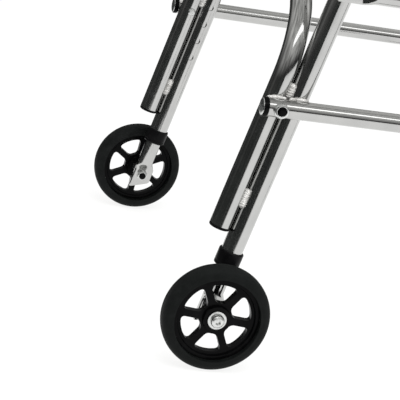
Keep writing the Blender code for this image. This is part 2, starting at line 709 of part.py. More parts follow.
# ---------------------------------------------------------------- assembly
FRONT_LEGS = {}
for LABEL, SIDE in (("left", 1), ("right", -1)):
    FRONT = LABEL + "_front"
    REAR = LABEL + "_rear"
    FRONT_LEG = add_empty(FRONT + "_leg_axis", (SIDE * LEG_X, AXLE_Y, WHEEL_R), -FRONT_LEAN)
    REAR_LEG = add_empty(REAR + "_leg_axis", (SIDE * LEG_X, FOOT_Y, 0.0), REAR_LEAN)
    FRONT_LEGS[LABEL] = FRONT_LEG

    side_frame(LABEL, SIDE, FRONT_LEG, REAR_LEG)
    hand_grip(LABEL, SIDE)
    lower_side_rail(LABEL, SIDE)
    upper_side_rail(LABEL, SIDE)
    hoop_plug(LABEL, FRONT_LEG)
    collar(FRONT, FRONT_LEG, COLLAR_S)
    collar(REAR, REAR_LEG, REAR_COLLAR_U)

    front_stem(FRONT, FRONT_LEG, SIDE)
    button_and_spring(FRONT, FRONT_LEG, FRONT_BUTTON_S, SIDE)
    axle_set(LABEL, FRONT_LEG, SIDE)
    wheel(SIDE, LABEL, FRONT_LEG)

    rear_stem(REAR, REAR_LEG, SIDE)
    button_and_spring(REAR, REAR_LEG, REAR_BUTTON_U, SIDE)
    rear_tip(REAR, REAR_LEG)

front_hoop()
cross_tube(FRONT_LEGS)
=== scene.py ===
"""Looks of the walking frame: detailed tubes, joints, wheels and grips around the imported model.

Metres, +Z up, the wheeled end faces -Y.  Every piece is built at rest in the row frame and then
rides on its body.  Distances called s run up a front leg from the axle, u up a rear leg from the
floor.
"""
import json
from math import cos, hypot, pi, radians, sin, sqrt, tan

import bmesh
import bpy
import numpy as np
from mathutils import Matrix, Vector


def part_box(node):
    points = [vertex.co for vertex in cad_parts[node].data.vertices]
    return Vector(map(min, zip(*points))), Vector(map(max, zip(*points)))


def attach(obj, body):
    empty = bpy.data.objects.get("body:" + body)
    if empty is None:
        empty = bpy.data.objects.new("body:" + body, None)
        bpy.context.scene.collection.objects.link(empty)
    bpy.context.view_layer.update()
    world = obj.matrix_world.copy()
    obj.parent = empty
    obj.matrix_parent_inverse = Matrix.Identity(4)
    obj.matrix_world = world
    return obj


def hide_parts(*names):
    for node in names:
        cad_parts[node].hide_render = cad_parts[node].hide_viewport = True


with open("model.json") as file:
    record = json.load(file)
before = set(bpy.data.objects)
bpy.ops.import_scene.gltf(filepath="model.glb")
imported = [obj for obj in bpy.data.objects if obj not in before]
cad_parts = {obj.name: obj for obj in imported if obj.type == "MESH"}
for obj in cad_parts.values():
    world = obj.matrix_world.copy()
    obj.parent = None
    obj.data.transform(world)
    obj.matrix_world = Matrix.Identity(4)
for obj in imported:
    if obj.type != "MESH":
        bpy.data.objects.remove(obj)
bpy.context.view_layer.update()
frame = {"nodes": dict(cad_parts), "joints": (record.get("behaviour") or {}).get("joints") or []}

SIDES = (("left", 1), ("right", -1))
JOINTS = {joint["name"]: joint for joint in frame["joints"]}

# ---------------------------------------------------------------- sizes shared with the CAD
TUBE_R = 0.0127
STEM_R = 0.0111
RAIL_R = 0.0105
UPPER_RAIL_R = 0.0095
WALL = 0.0013
STEM_WALL = 0.0014
GAP = 0.0003
PAIR_PITCH = 2 * TUBE_R + GAP
BEND_R = 0.055
HOOP_R = 0.098
HOOP_BEND_S = 0.278
HOLE_PITCH = 0.0254
HOLE_COUNT = 7
HOLE_R = 0.0042
STEM_ABOVE_BUTTON = 0.026
BOLT_HOLE_R = 0.0033
AXLE_HOLE_R = 0.0043
STEM_FLAT_HALF_T = 0.0050
FLAT_HALF_T = 0.0016            # pressed ends of the upper rails
WHEEL_R = 0.0635
TYRE_BORE_R = 0.0503
HUB_HALF_W = 0.0090
SPOKES = 6
SPOKE_TURN = {1: radians(-6.0), -1: radians(25.0)}     # first spoke, from +Y towards +Z


# ---------------------------------------------------------------- places read from the frame
def middle(node):
    low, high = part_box(node)
    return (low + high) / 2


class Leg:
    """A leg's own axes: a point is (across, fore and aft, distance up the leg)."""

    def __init__(self, origin, up, side):
        self.origin = Vector(origin)
        self.up = Vector(up).normalized()
        self.across = Vector((1.0, 0.0, 0.0))
        self.aft = self.up.cross(self.across)
        self.side = side

    def at(self, s, t=0.0, dx=0.0):
        """Point at distance s up the leg, t towards the open end, dx outboard."""
        return self.origin + self.up * s + self.aft * t + self.across * (dx * self.side)

    def distance(self, point):
        return (Vector(point) - self.origin).dot(self.up)

    def matrix(self, s=0.0, t=0.0):
        turn = Matrix((self.across, self.aft, self.up)).transposed().to_4x4()
        return Matrix.Translation(self.at(s, t)) @ turn

    def at_height(self, z):
        return self.at((z - self.origin.z) / self.up.z)


LEG_X = middle("left_lower_rail").x - RAIL_R - TUBE_R - GAP
HANDLE_Z = middle("left_hand_grip").z
FRONT = {}
REAR = {}
for label, side in SIDES:
    spin = JOINTS[label + "_wheel_spin"]["pos_m"]
    down = Vector(JOINTS[label + "_front_leg_slide"]["axis"])
    FRONT[label] = Leg((side * LEG_X, spin[1], spin[2]), -down, side)
    down = Vector(JOINTS[label + "_rear_leg_slide"]["axis"])
    collar_middle = middle(label + "_rear_collar")
    foot = collar_middle + down * (collar_middle.z / -down.z)
    REAR[label] = Leg((side * LEG_X, foot.y, 0.0), -down, side)

COLLAR_S = FRONT["left"].distance(middle("left_front_collar")) - 0.010
COLLAR_U = REAR["left"].distance(middle("left_rear_collar")) - 0.010
FRONT_BUTTON_S = FRONT["left"].distance(middle("left_front_button"))
REAR_BUTTON_U = REAR["left"].distance(middle("left_rear_button"))
HOOP_FOOT_S = FRONT["left"].distance(middle("left_hoop_plug")) - 0.0052


# ---------------------------------------------------------------- material nodes
def new_material(name, metallic=0.0):
    material = bpy.data.materials.new(name)
    material.use_nodes = True
    tree = material.node_tree
    shader = tree.nodes["Principled BSDF"]
    shader.inputs["Metallic"].default_value = metallic
    return material, tree, shader


def add_node(tree, kind, **settings):
    node = tree.nodes.new(kind)
    for key, value in settings.items():
        if key in node.inputs:
            node.inputs[key].default_value = value
        else:
            setattr(node, key, value)
    return node


def wire(tree, source, target):
    tree.links.new(source, target)


def scaled_coordinates(tree, source, scale):
    coordinates = add_node(tree, "ShaderNodeTexCoord")
    mapping = add_node(tree, "ShaderNodeMapping")
    mapping.inputs["Scale"].default_value = scale
    wire(tree, coordinates.outputs[source], mapping.inputs["Vector"])
    return mapping.outputs["Vector"]


def object_space(tree):
    return scaled_coordinates(tree, "Object", (1.0, 1.0, 1.0))


def noise(tree, vector, scale, detail=4.0, roughness=0.55, distortion=0.0):
    node = add_node(tree, "ShaderNodeTexNoise", Scale=scale, Detail=detail,
                    Roughness=roughness, Distortion=distortion)
    wire(tree, vector, node.inputs["Vector"])
    return node.outputs["Fac"]


def remap(tree, value, low, high, from_low=0.3, from_high=0.7):
    node = add_node(tree, "ShaderNodeMapRange")
    node.inputs["From Min"].default_value = from_low
    node.inputs["From Max"].default_value = from_high
    node.inputs["To Min"].default_value = low
    node.inputs["To Max"].default_value = high
    wire(tree, value, node.inputs["Value"])
    return node.outputs["Result"]


def combine(tree, operation, a, b):
    node = add_node(tree, "ShaderNodeMath", operation=operation)
    for socket, value in zip(node.inputs, (a, b)):
        if isinstance(value, (int, float)):
            socket.default_value = value
        else:
            wire(tree, value, socket)
    return node.outputs["Value"]


def blend_colours(tree, factor, dark, light):
    node = add_node(tree, "ShaderNodeMix", data_type="RGBA")
    colours = [socket for socket in node.inputs if socket.type == "RGBA"]
    colours[0].default_value = (*dark, 1.0)
    colours[1].default_value = (*light, 1.0)
    wire(tree, factor, node.inputs[0])
    return [socket for socket in node.outputs if socket.type == "RGBA"][0]


def paint(tree, shader, factor, dark, light):
    wire(tree, blend_colours(tree, factor, dark, light), shader.inputs["Base Color"])


def bump(tree, shader, heights):
    """Chain of bumps; heights are (value, strength, distance)."""
    before = None
    for value, strength, distance in heights:
        node = add_node(tree, "ShaderNodeBump", Strength=strength, Distance=distance)
        wire(tree, value, node.inputs["Height"])
        if before:
            wire(tree, before, node.inputs["Normal"])
        before = node.outputs["Normal"]
    wire(tree, before, shader.inputs["Normal"])


def polished_aluminium():
    """Drawn tube, polished along its length: fine lengthwise lines and a few cloudy patches."""
    material, tree, shader = new_material("polished_aluminium", 1.0)
    lines = noise(tree, scaled_coordinates(tree, "UV", (190.0, 5.0, 1.0)), 1.0, 3.0)
    fine = noise(tree, scaled_coordinates(tree, "UV", (620.0, 22.0, 1.0)), 1.0, 2.0)
    cloud = noise(tree, object_space(tree), 26.0, 5.0)
    scratch = noise(tree, scaled_coordinates(tree, "Object", (1.0, 1.0, 0.35)), 240.0, 6.0, 0.7,
                    2.2)
    scuffs = remap(tree, scratch, 0.0, 1.0, 0.64, 0.70)
    paint(tree, shader, remap(tree, cloud, 0.0, 1.0), (0.49, 0.49, 0.485), (0.56, 0.56, 0.55))
    rough = remap(tree, lines, 0.085, 0.150)
    rough = combine(tree, "ADD", rough, remap(tree, cloud, 0.0, 0.05, 0.45, 0.75))
    rough = combine(tree, "ADD", rough, combine(tree, "MULTIPLY", scuffs, 0.10))
    wire(tree, rough, shader.inputs["Roughness"])
    bump(tree, shader, [(lines, 0.10, 0.00012), (fine, 0.08, 0.00006), (cloud, 0.05, 0.0008)])
    return material


def satin_aluminium():
    """Pressed and turned aluminium ends, where the polish is duller."""
    material, tree, shader = new_material("satin_aluminium", 1.0)
    where = object_space(tree)
    cloud = noise(tree, where, 60.0, 6.0)
    grain = noise(tree, where, 900.0, 4.0)
    paint(tree, shader, remap(tree, cloud, 0.0, 1.0), (0.58, 0.58, 0.565), (0.69, 0.685, 0.67))
    wire(tree, remap(tree, cloud, 0.15, 0.27), shader.inputs["Roughness"])
    bump(tree, shader, [(grain, 0.08, 0.00008), (cloud, 0.12, 0.0006)])
    return material


def weld_metal():
    """Frosty bright beads with sooty flecks in their hollows."""
    material, tree, shader = new_material("weld_bead", 0.55)
    where = object_space(tree)
    lumps = noise(tree, where, 420.0, 5.0)
    soot = noise(tree, where, 130.0, 5.0)
    paint(tree, shader, remap(tree, soot, 0.0, 1.0, 0.35, 0.62),
          (0.58, 0.57, 0.55), (0.90, 0.89, 0.87))
    wire(tree, remap(tree, lumps, 0.16, 0.34), shader.inputs["Roughness"])
    bump(tree, shader, [(lumps, 0.60, 0.0007)])
    return material


def zinc_plate():
    """Bright plating: a faint crystalline mottle and slightly dulled patches."""
    material, tree, shader = new_material("zinc_plate", 1.0)
    where = object_space(tree)
    cells = add_node(tree, "ShaderNodeTexVoronoi", Scale=900.0)
    wire(tree, where, cells.inputs["Vector"])
    cloud = noise(tree, where, 210.0, 5.0)
    paint(tree, shader, remap(tree, cells.outputs["Distance"], 0.0, 1.0, 0.1, 0.7),
          (0.60, 0.61, 0.60), (0.74, 0.75, 0.74))
    wire(tree, remap(tree, cloud, 0.20, 0.36), shader.inputs["Roughness"])
    bump(tree, shader, [(cloud, 0.12, 0.0002)])
    return material


def moulded_plastic(name, colour, roughness, grain_depth, gloss):
    """Injection moulding: slight orange peel, fine grain, and paler rubbed patches."""
    material, tree, shader = new_material(name)
    where = object_space(tree)
    grain = noise(tree, where, 1500.0, 3.0)
    peel = noise(tree, where, 170.0, 3.0)
    rubbed = noise(tree, where, 48.0, 6.0, 0.65)
    worn = tuple(1.7 * channel + 0.002 for channel in colour)
    paint(tree, shader, remap(tree, rubbed, 0.0, 1.0, 0.48, 0.75), colour, worn)
    rough = combine(tree, "ADD", remap(tree, rubbed, roughness - 0.06, roughness + 0.10),
                    remap(tree, grain, -0.03, 0.03))
    wire(tree, rough, shader.inputs["Roughness"])
    shader.inputs["Specular IOR Level"].default_value = gloss
    bump(tree, shader, [(peel, 0.10, 0.0006), (grain, grain_depth, 0.0001)])
    return material


def tyre_rubber():
    """Grey-black rubber: pitted, a little chalky, dustier round the tread."""
    material, tree, shader = new_material("tyre_rubber")
    where = object_space(tree)
    pits = noise(tree, where, 1100.0, 4.0, 0.7)
    chalk = noise(tree, where, 70.0, 7.0, 0.7)
    smear = noise(tree, where, 22.0, 4.0)
    dust = combine(tree, "MULTIPLY", remap(tree, chalk, 0.0, 1.0, 0.42, 0.72),
                   remap(tree, smear, 0.25, 1.0, 0.35, 0.65))
    paint(tree, shader, dust, (0.0056, 0.0064, 0.0062), (0.0120, 0.0132, 0.0128))
    wire(tree, remap(tree, chalk, 0.52, 0.68), shader.inputs["Roughness"])
    shader.inputs["Specular IOR Level"].default_value = 0.08
    bump(tree, shader, [(pits, 0.22, 0.00018), (smear, 0.06, 0.001)])
    return material


def grip_vinyl():
    material, tree, shader = new_material("grip_vinyl")
    where = object_space(tree)
    grain = noise(tree, where, 1300.0, 4.0, 0.7)
    shine = noise(tree, where, 34.0, 5.0)
    paint(tree, shader, remap(tree, shine, 0.0, 1.0), (0.014, 0.014, 0.015), (0.030, 0.030, 0.031))
    wire(tree, remap(tree, shine, 0.42, 0.62), shader.inputs["Roughness"])
    bump(tree, shader, [(grain, 0.25, 0.0002)])
    return material


def spring_strip():
    material, tree, shader = new_material("spring_strip", 1.0)
    where = object_space(tree)
    heat = noise(tree, where, 90.0, 5.0)
    paint(tree, shader, remap(tree, heat, 0.0, 1.0), (0.36, 0.37, 0.40), (0.50, 0.49, 0.47))
    wire(tree, remap(tree, heat, 0.24, 0.38), shader.inputs["Roughness"])
    bump(tree, shader, [(heat, 0.10, 0.0003)])
    return material


ALUMINIUM = polished_aluminium()
SATIN = satin_aluminium()
WELD = weld_metal()
ZINC = zinc_plate()
PLASTIC = moulded_plastic("black_plastic", (0.0030, 0.0030, 0.0033), 0.30, 0.06, 0.08)
GLOSSY_PLASTIC = moulded_plastic("gloss_black_plastic", (0.0018, 0.0018, 0.0020), 0.21, 0.03, 0.06)
NYLON = moulded_plastic("natural_nylon", (0.52, 0.51, 0.47), 0.45, 0.05, 0.45)
RUBBER = tyre_rubber()
VINYL = grip_vinyl()
SPRING = spring_strip()


# ---------------------------------------------------------------- mesh building
def finish_piece(name, mesh, material, body, nodes=(), sharp=38.0):
    mesh.materials.append(material)
    if sharp:
        mesh.shade_smooth()
        mesh.set_sharp_from_angle(angle=radians(sharp))
    obj = bpy.data.objects.new(name, mesh)
    bpy.context.scene.collection.objects.link(obj)
    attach(obj, body)
    if nodes:
        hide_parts(*nodes)
    return obj


def ring_mesh(name, rings, lengths, loop=False, capped=False):
    """Skin rings of equal size; UV is (turn round the ring, length along)."""
    count = len(rings[0])
    verts = [tuple(point) for ring in rings for point in ring]
    faces = []
    uvs = []
    pairs = list(zip(range(len(rings)), range(1, len(rings))))
    if loop:
        pairs.append((len(rings) - 1, 0))
    for a, b in pairs:
        for k in range(count):
            n = (k + 1) % count
            faces.append((a * count + k, a * count + n, b * count + n, b * count + k))
            u0, u1 = k / count, (k + 1) / count
            uvs += [(u0, lengths[a]), (u1, lengths[a]), (u1, lengths[b]), (u0, lengths[b])]
    if capped:
        last = (len(rings) - 1) * count
        faces.append(tuple(reversed(range(count))))
        faces.append(tuple(last + k for k in range(count)))
        uvs += [(k / count, lengths[0]) for k in reversed(range(count))]
        uvs += [(k / count, lengths[-1]) for k in range(count)]
    mesh = bpy.data.meshes.new(name)
    mesh.from_pydata(verts, [], faces)
    layer = mesh.uv_layers.new(name="length")
    layer.data.foreach_set("uv", np.array(uvs, np.float32).ravel())
    return mesh


def mesh_of(bm, name):
    mesh = bpy.data.meshes.new(name)
    bm.to_mesh(mesh)
    bm.free()
    return mesh


def outward(mesh):
    """Turn the faces outward."""
    bm = bmesh.new()
    bm.from_mesh(mesh)
    bmesh.ops.recalc_face_normals(bm, faces=bm.faces)
    bm.to_mesh(mesh)
    bm.free()
    return mesh


def filleted_path(corners, radius, steps):
    corners = [Vector(corner) for corner in corners]
    path = [corners[0]]
    for before, corner, after in zip(corners, corners[1:], corners[2:]):
        into = (corner - before).normalized()
        out = (after - corner).normalized()
        turn = into.angle(out)
        start = corner - into * radius * tan(turn / 2)
        inward = (out - into * out.dot(into)).normalized()
        for k in range(steps + 1):
            a = turn * k / steps
            path.append(start + into * radius * sin(a) + inward * radius * (1 - cos(a)))
    path.append(corners[-1])
    return path


def path_frames(path, seam):
    """Tangent and two cross directions at each point, with the seam kept on one side."""
    frames = []
    normal = None
    for k, point in enumerate(path):
        ahead = path[min(k + 1, len(path) - 1)] - point
        behind = point - path[max(k - 1, 0)]
        if ahead.length < 1e-9:
            ahead = behind
        if behind.length < 1e-9:
            behind = ahead
        tangent = (ahead.normalized() + behind.normalized()).normalized()
        normal = Vector(seam) if normal is None else normal
        normal = (normal - tangent * normal.dot(tangent)).normalized()
        frames.append((tangent, normal, tangent.cross(normal)))
    return frames


def along(path):
    lengths = [0.0]
    for a, b in zip(path, path[1:]):
        lengths.append(lengths[-1] + (b - a).length)
    return lengths


def circle(centre, frame_axes, radius, sides, shift=0.0):
    tangent, normal, binormal = frame_axes
    centre = centre + tangent * shift
    return [centre + (normal * cos(2 * pi * k / sides) + binormal * sin(2 * pi * k / sides))
            * radius for k in range(sides)]


def tube_mesh(name, path, radius, wall, seam, sides=48, lip=0.00025):
    """Hollow tube with its end edges slightly rounded."""
    axes = path_frames(path, seam)
    lengths = along(path)
    inner = radius - wall
    last = len(path) - 1
    rows = [(0, inner, lip), (0, inner + lip, 0.0), (0, radius - lip, 0.0), (0, radius, lip)]
    rows += [(k, radius, 0.0) for k in range(1, last)]
    rows += [(last, radius, -lip), (last, radius - lip, 0.0), (last, inner + lip, 0.0),
             (last, inner, -lip)]
    rows += [(k, inner, 0.0) for k in range(last - 1, 0, -1)]
    rings = [circle(path[k], axes[k], r, sides, shift) for k, r, shift in rows]
    return outward(ring_mesh(name, rings, [lengths[k] for k, _, _ in rows], loop=True))


def cross_hole(x, y, z):
    """Span of a bolt hole along X through a tube whose centre is at x."""
    return (x - 0.02, y, z), (x + 0.02, y, z), BOLT_HOLE_R


def drill(mesh, spans, sides=28):
    """Cut round holes, each (from point, to point, radius), and return the new mesh."""
    cutter_bm = bmesh.new()
    for start, end, radius in spans:
        start, end = Vector(start), Vector(end)
        axis = end - start
        turn = axis.to_track_quat("Z", "Y").to_matrix().to_4x4()
        turn = turn @ Matrix.Rotation(pi / sides * 0.9, 4, "Z")
        bmesh.ops.create_cone(cutter_bm, cap_ends=True, segments=sides, radius1=radius,
                              radius2=radius, depth=axis.length,
                              matrix=Matrix.Translation((start + end) / 2) @ turn)
    return subtract(mesh, mesh_of(cutter_bm, "drill"))


def subtract(mesh, cutter_mesh):
    body = bpy.data.objects.new("drilled", mesh)
    cutter = bpy.data.objects.new("drill", cutter_mesh)
    bpy.context.scene.collection.objects.link(body)
    bpy.context.scene.collection.objects.link(cutter)
    modifier = body.modifiers.new("holes", "BOOLEAN")
    modifier.operation = "DIFFERENCE"
    modifier.solver = "EXACT"
    modifier.object = cutter
    depsgraph = bpy.context.evaluated_depsgraph_get()
    result = bpy.data.meshes.new_from_object(body.evaluated_get(depsgraph))
    bpy.data.objects.remove(body)
    bpy.data.objects.remove(cutter)
    return result


def tube_normals(mesh, path):
    """True round normals on a drilled tube, so that its reflections stay straight."""
    points = np.array([tuple(p) for p in path])
    starts, steps = points[:-1], np.diff(points, axis=0)
    squares = (steps ** 2).sum(1)

    def radial(where):
        t = np.einsum("nmj,mj->nm", where[:, None, :] - starts[None], steps) / squares
        t = np.clip(t, 0.0, 1.0)
        near = starts[None] + t[..., None] * steps[None]
        gaps = where[:, None, :] - near
        best = (gaps ** 2).sum(2).argmin(1)
        chosen = gaps[np.arange(len(where)), best]
        return chosen / np.maximum(np.linalg.norm(chosen, axis=1), 1e-9)[:, None]

    places = np.array([tuple(v.co) for v in mesh.vertices])
    outward_at = radial(places)
    centres = np.array([tuple(p.center) for p in mesh.polygons])
    outward_face = radial(centres)
    mesh.shade_smooth()
    normals = np.zeros((len(mesh.loops), 3), np.float32)
    for polygon, face_out in zip(mesh.polygons, outward_face):
        normal = np.array(polygon.normal)
        facing = float(normal @ face_out)
        for loop in polygon.loop_indices:
            if abs(facing) > 0.9:
                round_normal = outward_at[mesh.loops[loop].vertex_index]
                normals[loop] = round_normal * (1.0 if facing > 0 else -1.0)
            else:
                normals[loop] = normal
    mesh.normals_split_custom_set(normals.tolist())
    return mesh


def fillet_profile(points, radius, closed=False, steps=3):
    """Round every corner of a (radius, height) outline by up to the given radius."""
    count = len(points)
    result = []
    for k, point in enumerate(points):
        corner = Vector(point)
        a = Vector(points[k - 1]) - corner
        b = Vector(points[(k + 1) % count]) - corner
        is_end = not closed and k in (0, count - 1)
        if is_end or min(a.length, b.length) < 1e-7 or pi - a.angle(b) < radians(12):
            result.append(tuple(point))
            continue
        reach = min(radius * tan((pi - a.angle(b)) / 2), 0.45 * a.length, 0.45 * b.length)
        start = corner + a.normalized() * reach
        end = corner + b.normalized() * reach
        for i in range(steps + 1):
            result.append(tuple(corner_curve(start, corner, end, i / steps)))
    return result


def corner_curve(start, corner, end, f):
    return start * (1 - f) ** 2 + corner * 2 * f * (1 - f) + end * f ** 2


def lathe_mesh(name, profile, matrix, steps=64, closed=False, turn_from=0.0):
    """Turn (radius, height) points round the matrix's Z axis."""
    lengths = [0.0]
    for a, b in zip(profile, profile[1:]):
        lengths.append(lengths[-1] + hypot(b[0] - a[0], b[1] - a[1]))
    rings = []
    for r, z in profile:
        r = max(r, 0.0)
        rings.append([matrix @ Vector((r * cos(turn_from + 2 * pi * k / steps),
                                       r * sin(turn_from + 2 * pi * k / steps), z))
                      for k in range(steps)])
    mesh = ring_mesh(name, rings, lengths, loop=closed)
    bm = bmesh.new()
    bm.from_mesh(mesh)
    bmesh.ops.remove_doubles(bm, verts=bm.verts, dist=0.000005)
    bmesh.ops.dissolve_degenerate(bm, edges=bm.edges, dist=0.000001)
    bmesh.ops.recalc_face_normals(bm, faces=bm.faces)
    bm.to_mesh(mesh)
    bm.free()
    return mesh


def outboard_matrix(point, side):
    """Axes at a point with Z pointing outboard."""
    return Matrix.Translation(Vector(point)) @ Matrix.Rotation(side * pi / 2, 4, "Y")


def superellipse(half_y, half_x, power, count):
    points = []
    for k in range(count):
        a = 2 * pi * (k + 0.5) / count
        c, s = cos(a), sin(a)
        size = (abs(c) ** power + abs(s) ** power) ** (-1.0 / power)
        points.append((half_x * c * size, half_y * s * size))
    return points


def smooth_steps(sections, steps):
    """Ease (height, half_y, half_x, power) sections into each other."""
    rows = []
    for low, high in zip(sections, sections[1:]):
        for k in range(steps):
            f = k / steps
            ease = f * f * (3 - 2 * f)
            rows.append(tuple(
                low[i] + (high[i] - low[i]) * (f if i == 0 else ease) for i in range(4)))
    rows.append(sections[-1])
    return rows


def loft_rings(rows, matrix, count):
    return [[matrix @ Vector((x, y, row[0])) for x, y in superellipse(*row[1:], count)]
            for row in rows]


def bead_mesh(name, path, radii, ripple=0.0017, sides=16, seed=0):
    """Weld bead: overlapping crescents along a path; radii are (towards the seam, across)."""
    fine = [path[0]]
    for a, b in zip(path, path[1:]):
        pieces = max(1, round((b - a).length / 0.00035))
        fine += [a.lerp(b, k / pieces) for k in range(1, pieces + 1)]
    lengths = along(fine)
    total = lengths[-1]
    axes = path_frames(fine, radii[2])
    rings = []
    for point, length, (tangent, normal, binormal) in zip(fine, lengths, axes):
        phase = (length / ripple) % 1.0
        swell = 1.0 + 0.16 * (1 - phase) ** 2 - 0.08
        swell *= 1.0 + 0.06 * sin(length * 1900 + seed * 1.7) + 0.04 * sin(length * 4100 + seed)
        end = min(length, total - length) / max(radii[1], 1e-6)
        taper = sqrt(max(0.0, 1 - (1 - min(end, 1.0)) ** 2)) * 0.96 + 0.04
        ring = []
        for k in range(sides):
            a = 2 * pi * k / sides
            bow = -0.45 * radii[1] * sin(a) ** 2 * (1 - phase)
            offset = normal * (radii[0] * cos(a)) + binormal * (radii[1] * sin(a))
            ring.append(point + offset * swell * taper + tangent * bow * 0.5)
        rings.append(ring)
    return outward(ring_mesh(name, rings, lengths, capped=True))


# ---------------------------------------------------------------- fixed frame
def side_frame(label, side):
    front, rear = FRONT[label], REAR[label]
    sleeve = 0.0050 + GAP
    corners = [front.at(COLLAR_S + sleeve), front.at_height(HANDLE_Z), rear.at_height(HANDLE_Z),
               rear.at(COLLAR_U + sleeve)]
    path = filleted_path(corners, BEND_R, 26)
    mesh = tube_mesh(label + "_side_frame", path, TUBE_R, WALL, (-side, 0.0, 0.0))
    spans = []
    for leg, top in ((front, FRONT_BUTTON_S), (rear, REAR_BUTTON_U)):
        for n in range(HOLE_COUNT):
            s = top - HOLE_PITCH * n
            spans.append((leg.at(s), leg.at(s, 0.0, -0.02), HOLE_R))
    for end in ("front", "rear"):
        where = middle(f"{label}_upper_rail_bolt_{end}")
        spans.append(cross_hole(side * LEG_X, where.y, where.z))
    mesh = tube_normals(drill(mesh, spans), path)
    finish_piece(label + "_side_tube", mesh, ALUMINIUM, "frame", [label + "_side_frame"], 0)


def hoop_point(label, s):
    return FRONT[label].at(s, -PAIR_PITCH)


def front_hoop():
    top = HOOP_BEND_S + HOOP_R
    corners = [hoop_point("left", HOOP_FOOT_S), hoop_point("left", top),
               hoop_point("right", top), hoop_point("right", HOOP_FOOT_S)]
    path = filleted_path(corners, HOOP_R, 40)
    mesh = tube_mesh("front_hoop", path, TUBE_R, WALL, (0.0, 1.0, 0.2))
    spans = []
    for label, side in SIDES:
        where = middle(label + "_rail_rivet")
        spans.append(cross_hole(side * LEG_X, where.y, where.z))
    mesh = tube_normals(drill(mesh, spans), path)
    finish_piece("hoop_tube", mesh, ALUMINIUM, "frame", ["front_hoop"], 0)


def cross_tube():
    centre = middle("upper_cross_tube")
    leg = FRONT["left"]
    ends = Vector((LEG_X - TUBE_R, 0.0, 0.0))
    path = [centre - ends, centre - ends * 0.5, centre, centre + ends * 0.5, centre + ends]
    mesh = tube_mesh("upper_cross_tube", path, STEM_R, WALL, (0.0, 1.0, 0.0))
    for vertex in mesh.vertices:
        away = vertex.co - centre
        aside = away.dot(leg.aft)
        reach = LEG_X + GAP - sqrt(max((TUBE_R + GAP) ** 2 - aside ** 2, 0.0))
        limit = LEG_X - TUBE_R
        share = max(0.0, abs(away.x) - 0.5 * limit) / (0.5 * limit)
        vertex.co.x += (1 if away.x > 0 else -1) * share * (reach - limit)
    mesh.update()
    finish_piece("cross_tube", mesh, ALUMINIUM, "frame", ["upper_cross_tube"])
    for label, side in SIDES:
        saddle = []
        for k in range(73):
            a = 2 * pi * k / 72
            aside, rise = (STEM_R + 0.0006) * cos(a), (STEM_R + 0.0006) * sin(a)
            x = LEG_X - sqrt(max((TUBE_R + 0.0004) ** 2 - aside ** 2, 0.0))
            point = Vector((side * x, 0.0, 0.0)) + leg.aft * aside + leg.up * rise
            saddle.append(point + Vector((0.0, centre.y, centre.z)))
        bead = bead_mesh(label + "_cross_weld", saddle, (0.0021, 0.0021, Vector((side, 0.0, 0.0))),
                         seed=side)
        finish_piece(label + "_cross_weld", bead, WELD, "frame")


def hoop_plug(label):
    leg = FRONT[label]
    profile = [(0.0, 0.0140), (0.0106, 0.0140), (0.0108, 0.0130), (0.0108, -GAP),
               (0.0126, -GAP), (0.0126, -0.0024), (0.0117, -0.0033), (0.0, -0.0036)]
    mesh = lathe_mesh(label + "_plug", fillet_profile(profile, 0.0005),
                      leg.matrix(HOOP_FOOT_S, -PAIR_PITCH))
    finish_piece(label + "_hoop_end_plug", mesh, PLASTIC, "frame", [label + "_hoop_plug"])


def collar(name, leg, s, node):
    lip, tall, outer = 0.0050, 0.0200, 0.0150
    profile = [
        (outer - 0.0009, tall), (outer, tall - 0.0012), (outer, 0.0052), (outer - 0.0004, 0.0048),
        (outer - 0.0004, 0.0043), (outer, 0.0039), (outer, 0.0012), (outer - 0.0012, 0.0),
        (STEM_R + GAP, 0.0), (STEM_R + GAP, lip), (TUBE_R + GAP, lip), (TUBE_R + GAP, tall),
    ]
    mesh = lathe_mesh(name, fillet_profile(profile, 0.0004, True), leg.matrix(s), closed=True)
    finish_piece(name + "_bush", mesh, PLASTIC, "frame", [node])


def lower_rail(label, side):
    low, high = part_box(label + "_lower_rail")
    x, z = middle(label + "_lower_rail").x, middle(label + "_lower_rail").z
    path = [Vector((x, low.y + (high.y - low.y) * k / 6, z)) for k in range(7)]
    mesh = tube_mesh(label + "_lower_rail", path, RAIL_R, WALL, (-side, 0.0, 0.0))
    rivet = middle(label + "_rail_rivet")
    mesh = drill(mesh, [cross_hole(x, rivet.y, z)])
    finish_piece(label + "_rail_tube", tube_normals(mesh, path), ALUMINIUM, "frame",
                 [label + "_lower_rail"], 0)
    for end, y, facing in (("front", low.y, 1), ("rear", high.y, -1)):
        place = Matrix.Translation((x, y, z)) @ Matrix.Rotation(facing * pi / 2, 4, "X")
        rail_end(f"{label}_rail_end_{end}", place, f"{label}_rail_cap_{end}")
    rail_rivet(label, side, Vector((x, rivet.y, z)))
    rail_welds(label, side, x, z)


def rail_end(name, place, node):
    """Black plug with a collar, and a bright domed button on its end."""
    profile = [(0.0, 0.0054), (0.0106, 0.0054), (0.0113, 0.0048), (0.0113, GAP), (0.0088, GAP),
               (0.0086, -0.0070), (0.0, -0.0070)]
    plug = lathe_mesh(name, fillet_profile(profile, 0.0006), place)
    finish_piece(name + "_plug", plug, GLOSSY_PLASTIC, "frame", [node])
    dome = [(0.0098 * sin(pi / 2 * k / 8), 0.0059 + 0.0015 * cos(pi / 2 * k / 8))
            for k in range(9)]
    button = lathe_mesh(name, dome + [(0.0098, 0.0056), (0.0, 0.0056)], place)
    finish_piece(name + "_button", button, ZINC, "frame")


